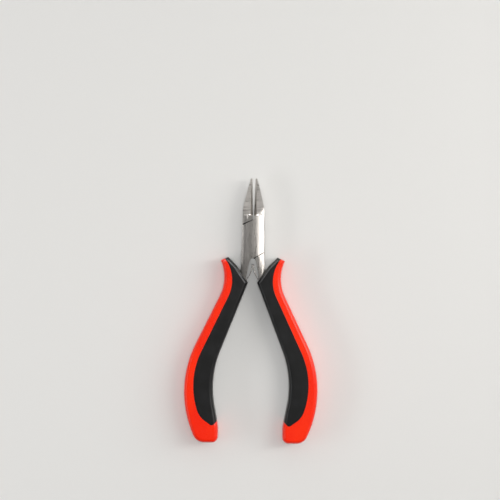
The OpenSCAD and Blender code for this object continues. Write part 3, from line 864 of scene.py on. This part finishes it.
def leaf_rivet():
    """The right leaf's rivet: a domed head on a shank in the tang."""
    s, leaf = sizes("springs"), Leaf()
    rise, radius = s.rivet_head_h, s.rivet_head_r
    angles = [radians(a) for a in range(90, 0, -15)]
    dome = [(radius * cos(a), -leaf.seat - rise * sin(a)) for a in angles]
    profile = dome + [(radius, -leaf.seat)] + shank_profile()[1:]
    return lathe(profile, SMALL_SIDES, leaf.rivet_place())


# ---- materials


class Num:
    """A number that changes over a surface. Arithmetic on it adds Math nodes."""

    def __init__(self, paint, socket):
        self.paint, self.socket = paint, socket

    def _math(self, operation, *values):
        node = self.paint.node("ShaderNodeMath", {"operation": operation}, dict(enumerate(values)))
        return Num(self.paint, node.outputs[0])

    def __add__(self, other):
        return self._math("ADD", self, other)

    def __rsub__(self, other):
        return self._math("SUBTRACT", other, self)

    def __mul__(self, other):
        return self._math("MULTIPLY", self, other)

    __radd__, __rmul__ = __add__, __mul__

    def above(self, edge, softness):
        """0 below edge, 1 above it, changing smoothly over softness."""
        return self.paint.ramp(self, edge - softness / 2, edge + softness / 2)


class Paint:
    """A material being made. Lengths in its patterns are in metres on Object coordinates."""

    def __init__(self, name):
        self.material = bpy.data.materials.new(name)
        self.material.use_nodes = True
        self.tree = self.material.node_tree
        self.shader = self.tree.nodes["Principled BSDF"]

    def node(self, kind, settings=None, inputs=None):
        """A node with its settings made first and then its sockets' values or links."""
        node = self.tree.nodes.new(kind)
        for name, value in (settings or {}).items():
            setattr(node, name, value)
        for name, value in (inputs or {}).items():
            self.feed(node.inputs[name], value)
        return node

    def feed(self, socket, value):
        value = value.socket if isinstance(value, Num) else value
        if isinstance(value, bpy.types.NodeSocket):
            self.tree.links.new(value, socket)
        else:
            socket.default_value = value

    def place(self, scale=(1, 1, 1), turn=(0, 0, 0), centre=(0, 0, 0)):
        """Object coordinates about a centre, turned and then stretched."""
        coords = self.node("ShaderNodeTexCoord").outputs["Object"]
        subtract, ends = {"operation": "SUBTRACT"}, {0: coords, 1: tuple(centre)}
        moved = self.node("ShaderNodeVectorMath", subtract, ends).outputs[0]
        inputs = {"Vector": moved, "Rotation": turn, "Scale": scale}
        return self.node("ShaderNodeMapping", {"vector_type": "POINT"}, inputs).outputs[0]

    def axis(self, which, centre=(0, 0, 0)):
        """One Object coordinate, X, Y or Z, measured from a centre."""
        parts = self.node("ShaderNodeSeparateXYZ", None, {0: self.place(centre=centre)})
        return Num(self, parts.outputs[which])

    def noise(self, size, detail=3, rough=0.55, vector=None):
        """Noise whose lumps are about size across, from 0 to 1."""
        inputs = {"Scale": 1 / size, "Detail": detail, "Roughness": rough}
        inputs["Vector"] = vector or self.place()
        made = self.node("ShaderNodeTexNoise", {"noise_dimensions": "3D"}, inputs)
        return Num(self, made.outputs["Fac"])

    def ramp(self, value, low, high, to_low=0.0, to_high=1.0):
        """value moved from low..high to to_low..to_high, held at both ends."""
        ends = {"From Min": low, "From Max": high, "To Min": to_low, "To Max": to_high}
        settings = {"interpolation_type": "SMOOTHSTEP", "clamp": True}
        made = self.node("ShaderNodeMapRange", settings, {"Value": value, **ends})
        return Num(self, made.outputs["Result"])

    def mix(self, amount, first, second):
        """A colour between two."""
        node = self.node("ShaderNodeMix", {"data_type": "RGBA"})
        # Its Factor, A and B sockets and its Result, as numbered for colours
        for index, value in ((0, amount), (6, first), (7, second)):
            self.feed(node.inputs[index], (*value, 1) if isinstance(value, tuple) else value)
        return node.outputs[2]

    def bump(self, height, distance, strength):
        inputs = {"Height": height, "Distance": distance, "Strength": strength}
        return self.node("ShaderNodeBump", None, inputs).outputs[0]

    def finish(self, **sockets):
        """Sets the shader's sockets; an underscore stands for a space in a name."""
        for name, value in sockets.items():
            self.feed(self.shader.inputs[name.replace("_", " ")], value)
        return self.material


def blend(first, second, amount):
    """Between two varying numbers: the first where amount is 0, the second where it is 1."""
    return first * (1 - amount) + second * amount


def colour(name):
    return tuple(getattr(sizes("colours"), name))


def joint_shade_and_oil(paint):
    """1 inside the lap joint, where its near-black colour is painted shade of the narrow seams and
    also the dark oily steel there; 0 on everything that is ground or open.
    """
    head, jaws = sizes("head"), sizes("jaws")
    soft = 0.3 * MM
    inside = 1
    limits = (head.width / 2, jaws.facet_y, head.thick / 2 - head.crown)
    for which, limit in enumerate(limits):
        away, limit = paint.axis(which, PIVOT), limit - soft
        inside = (1 - away.above(limit, soft)) * away.above(-limit, soft) * inside
    return inside


@cache
def ground_steel():
    """Satin steel, ground along the head and arms and across the jaws' facets."""
    paint = Paint("ground_steel")
    jaws = sizes("jaws")
    along = paint.place(scale=(1, 0.05, 1))
    across = paint.place(scale=(0.06, 1, 1))
    run_out, soft = 0.9 * MM, 0.6 * MM
    on_facet = paint.axis("Y", PIVOT).above(jaws.facet_y + run_out, soft)
    fine = blend(*(paint.noise(0.16 * MM, 4, 0.6, way) for way in (along, across)), on_facet)
    broad = blend(
        paint.noise(1.3 * MM, 3, 0.5, along), paint.noise(1.1 * MM, 3, 0.5, across), on_facet
    )
    cloud = paint.noise(5 * MM, 2)
    grain = fine * 0.55 + broad * 0.45
    tone = paint.ramp(grain + cloud * 0.35, 0.42, 0.86)
    bright = paint.mix(tone, colour("steel_deep"), colour("steel"))
    return paint.finish(
        Metallic=1.0,
        # The joint's inside turns near-black: painted shade in the seams, and oily steel
        Base_Color=paint.mix(joint_shade_and_oil(paint), bright, colour("steel_dark")),
        Roughness=paint.ramp(grain, 0.3, 0.7, to_low=0.24, to_high=0.4),
        Normal=paint.bump(grain, 0.012 * MM, 0.6),
    )


@cache
def rolled_steel():
    """Bright rolled strip with faint lengthwise marks."""
    paint = Paint("rolled_steel")
    marks = paint.noise(0.2 * MM, 3, 0.6, paint.place(scale=(1, 0.1, 1)))
    stain = paint.noise(1.8 * MM, 2)
    return paint.finish(
        Metallic=1.0,
        Base_Color=paint.mix(paint.ramp(stain, 0.35, 0.7), colour("steel_deep"), colour("spring")),
        Roughness=paint.ramp(marks + stain, 0.7, 1.3, to_low=0.16, to_high=0.32),
        Normal=paint.bump(marks, 0.006 * MM, 0.5),
    )


@cache
def red_plastic():
    """Glossy hard plastic with faint flow marks, a fine moulded skin and light scratches."""
    paint = Paint("red_plastic")
    flow = paint.noise(7 * MM, 3, 0.5, paint.place(scale=(1, 0.35, 1)))
    skin = paint.noise(0.5 * MM, 3, 0.6)
    scratch = paint.noise(0.12 * MM, 2, 0.7, paint.place(scale=(1, 0.06, 1), turn=(0, 0, 0.5)))
    rub = paint.ramp(paint.noise(3 * MM, 2) * 0.5 + scratch * 0.5, 0.5, 0.68)
    return paint.finish(
        Base_Color=paint.mix(paint.ramp(flow, 0.35, 0.65), colour("red"), colour("red_deep")),
        Roughness=paint.ramp(skin, 0.3, 0.7, to_low=0.26, to_high=0.32) + rub * 0.06,
        Normal=paint.bump(skin + scratch * 0.3, 0.003 * MM, 0.5),
        Specular_IOR_Level=0.28,
        Coat_Weight=0.06,
        Coat_Roughness=0.14,
    )


@cache
def black_rubber():
    """Matt soft moulding, with a fine grain, greyer blooming patches, a painted grey sheen on every
    rim, and rims that hands have polished.
    """
    paint = Paint("black_rubber")
    grain = paint.noise(0.28 * MM, 3, 0.6)
    patches = paint.noise(4 * MM, 3, 0.55)
    height, rim, soft = paint.axis("Z", PIVOT), HALF_THICK - 0.05 * MM, 0.06 * MM
    flat = height.above(rim, soft) + (1 - height.above(-rim, soft))
    # Random blooming patches, plus a painted sheen that greys every rim
    bloom_and_sheen = paint.ramp(patches, 0.4, 0.75) * 0.45 + (1 - flat) * 0.25
    skin = grain * 0.5 + patches * 0.5
    return paint.finish(
        Base_Color=paint.mix(bloom_and_sheen, colour("black"), colour("black_bloom_and_sheen")),
        Roughness=paint.ramp(skin, 0.35, 0.65, to_low=0.3, to_high=0.4) + flat * 0.1,
        Normal=paint.bump(grain, 0.01 * MM, 0.5),
        Specular_IOR_Level=0.36,
        Sheen_Weight=0.01,
        Sheen_Roughness=0.4,
    )


@cache
def floor_card():
    """Plain pale matt card."""
    paint = Paint("floor_card")
    fibre = paint.noise(0.8 * MM, 3)
    base = colour("floor")
    return paint.finish(
        Base_Color=paint.mix(fibre, base, tuple(c * 0.98 for c in base)),
        Roughness=paint.ramp(fibre, 0.3, 0.7, to_low=0.6, to_high=0.7),
    )


# ---- operators


class Maker:
    """What the operators share."""

    bl_options = {"REGISTER", "UNDO"}


class NIPPERS_OT_levers(Maker, Operator):
    """Make both levers; the back one is the front one turned half round"""

    bl_idname = "nippers.levers"
    bl_label = "Levers"

    def execute(self, context):
        front = lever()
        back = turned(front.copy(), OVER)
        for side, bm in (("front", front), ("back", back)):
            name, steel = f"{side}_lever", ground_steel()
            finished(bm, f"{name}_steel", f"{side}_half", name, steel)
        return {"FINISHED"}


class NIPPERS_OT_pivot_rivet(Maker, Operator):
    """Make the pivot rivet, ground flush with the crowned head"""

    bl_idname = "nippers.pivot_rivet"
    bl_label = "Pivot rivet"

    def execute(self, context):
        rivet = combined(lathe(pivot_profile(0), PIVOT_SIDES), crown_bar(), "INTERSECT")
        steel = ground_steel()
        finished(rivet, "pivot_rivet_flush", "back_half", "pivot_rivet", steel)
        return {"FINISHED"}


def pair(make, name, replaced, slot, material, bodies=("back_half", "front_half")):
    """The right-hand piece that make() gives and its left-hand twin, each on its own body."""
    for side, matrix, body in zip(("right", "left"), (Matrix(), OVER), bodies):
        bm = turned(make(), matrix)
        finished(bm, f"{side}_{name}", body, f"{side}_{replaced}", material)
    return {"FINISHED"}


class NIPPERS_OT_leaf_springs(Maker, Operator):
    """Make the two bent leaves that push the handles apart"""

    bl_idname = "nippers.leaf_springs"
    bl_label = "Leaf springs"

    def execute(self, context):
        bodies, steel = ("right_leaf", "left_leaf"), rolled_steel()
        return pair(leaf_spring, "leaf_strip", "leaf_spring", "spring_steel", steel, bodies)


class NIPPERS_OT_spring_rivets(Maker, Operator):
    """Make the two small rivets that hold the leaves"""

    bl_idname = "nippers.spring_rivets"
    bl_label = "Spring rivets"

    def execute(self, context):
        return pair(leaf_rivet, "rivet_dome", "spring_rivet", "rivet_steel", rolled_steel())


class NIPPERS_OT_grip_shells(Maker, Operator):
    """Make the hard red shells of both grips"""

    bl_idname = "nippers.grip_shells"
    bl_label = "Grip shells"

    def execute(self, context):
        return pair(grip_shell, "grip_band", "grip_shell", "grip_shell_red", red_plastic())


class NIPPERS_OT_grip_pads(Maker, Operator):
    """Make the soft black pads of both grips"""

    bl_idname = "nippers.grip_pads"
    bl_label = "Grip pads"

    def execute(self, context):
        return pair(grip_pad, "grip_rubber", "grip_pad", "grip_pad_black", black_rubber())


WHITE = (1, 1, 1)
# Each lamp's place from the tool's middle, its size, its power, its tint and the rays that miss it.
# The fill shines straight down, to reach the bottoms of the gaps without making a highlight. The
# last two only make the highlights along the grips' slanted end faces.
LAMPS = {
    "key": ((0.48, 0.12, 0.4), (0.14, 0.6), 1.5, (1, 0.97, 0.93), None),
    "left": ((-0.55, -0.1, 0.28), (0.4, 0.12), 0.9, WHITE, None),
    "fill": ((0, 0, 0.8), (0.15, 0.15), 2.3, WHITE, "glossy"),
    "end_left": ((0.4, 0.34, 0.36), (0.3, 0.12), 3.0, WHITE, "diffuse"),
    "end_right": ((-0.33, 0.46, 0.3), (0.3, 0.12), 3.0, WHITE, "diffuse"),
}


def softbox(name, offset, size, power, tint, hidden):
    """A rectangular area light aimed at the tool's middle, hidden from one kind of ray."""
    data = bpy.data.lights.new(name, "AREA")
    data.shape, data.size, data.size_y = "RECTANGLE", *size
    data.energy, data.color = power, tint
    light = bpy.data.objects.new(name, data)
    light.location = Vector((0, 0, HALF_THICK)) + Vector(offset)
    light.rotation_mode = "QUATERNION"
    light.rotation_quaternion = (-Vector(offset)).to_track_quat("-Z", "Y")
    if hidden:
        setattr(light, f"visible_{hidden}", False)
    bpy.context.scene.collection.objects.link(light)


def studio_world():
    """A plain dim room, brighter towards the jaws and the right."""
    way, tint = (0.5, 0.75, 0), (1, 0.98, 0.95, 1)
    limits = {"From Min": -0.35, "From Max": 0.6, "To Min": 0.06, "To Max": 0.82}
    world = bpy.data.worlds.new("studio")
    world.use_nodes = True
    tree = world.node_tree
    across = tree.nodes.new("ShaderNodeVectorMath")
    across.operation = "DOT_PRODUCT"
    across.inputs[1].default_value = way
    tree.links.new(tree.nodes.new("ShaderNodeTexCoord").outputs["Generated"], across.inputs[0])
    strength = tree.nodes.new("ShaderNodeMapRange")
    for name, value in limits.items():
        strength.inputs[name].default_value = value
    tree.links.new(across.outputs["Value"], strength.inputs["Value"])
    tree.links.new(strength.outputs["Result"], tree.nodes["Background"].inputs["Strength"])
    tree.nodes["Background"].inputs["Color"].default_value = tint
    return world


class NIPPERS_OT_stage(Maker, Operator):
    """Make the floor, the soft lights and the camera above the tool"""

    bl_idname = "nippers.stage"
    bl_label = "Stage"

    def execute(self, context):
        scene, half_size = context.scene, 3
        bm = bmesh.new()
        bmesh.ops.create_grid(bm, x_segments=1, y_segments=1, size=half_size)
        floor = new_object(bm, "floor")
        bm.free()
        floor.data.materials.append(floor_card())

        scene.world = studio_world()
        scene.view_settings.view_transform = "Standard"
        for name, lamp in LAMPS.items():
            softbox(name, *lamp)

        # The view is square and centred a little below and left of the pivot
        view_width, lens, sensor = 217.4 * MM, 120, 36
        aim, roll = PIVOT + Vector((-1.3 * MM, -4.8 * MM, 0)), radians(0.9)
        data = bpy.data.cameras.new("camera")
        data.lens, data.sensor_width = lens, sensor
        camera = bpy.data.objects.new("camera", data)
        camera.location = aim + Vector((0, 0, view_width * lens / sensor))
        camera.rotation_euler = (0, 0, roll)
        scene.collection.objects.link(camera)
        scene.camera = camera
        return {"FINISHED"}


class NIPPERS_PT_panel(Panel):
    """Lists the pieces in the order in which they are made"""

    bl_idname = "NIPPERS_PT_panel"
    bl_label = "Sprue nippers"
    bl_space_type = "VIEW_3D"
    bl_region_type = "UI"
    bl_category = "Nippers"

    def draw(self, context):
        for maker in MAKERS:
            self.layout.operator(maker.bl_idname)
        for name, group in GROUPS.items():
            box = self.layout.box()
            box.label(text=name.replace("nippers_", "").capitalize())
            for key in group.__annotations__:
                box.prop(getattr(context.scene, name), key)


MAKERS = (
    NIPPERS_OT_stage,
    NIPPERS_OT_levers,
    NIPPERS_OT_pivot_rivet,
    NIPPERS_OT_leaf_springs,
    NIPPERS_OT_spring_rivets,
    NIPPERS_OT_grip_shells,
    NIPPERS_OT_grip_pads,
)


def register():
    for made in (*GROUPS.values(), *MAKERS, NIPPERS_PT_panel):
        bpy.utils.register_class(made)
    for name, group in GROUPS.items():
        setattr(bpy.types.Scene, name, PointerProperty(type=group))


def unregister():
    for name in GROUPS:
        delattr(bpy.types.Scene, name)
    for made in (NIPPERS_PT_panel, *reversed(MAKERS), *reversed(GROUPS.values())):
        bpy.utils.unregister_class(made)


def main():
    register()
    for maker in MAKERS:
        category, name = maker.bl_idname.split(".")
        getattr(getattr(bpy.ops, category), name)()


if __name__ == "__main__":
    main()
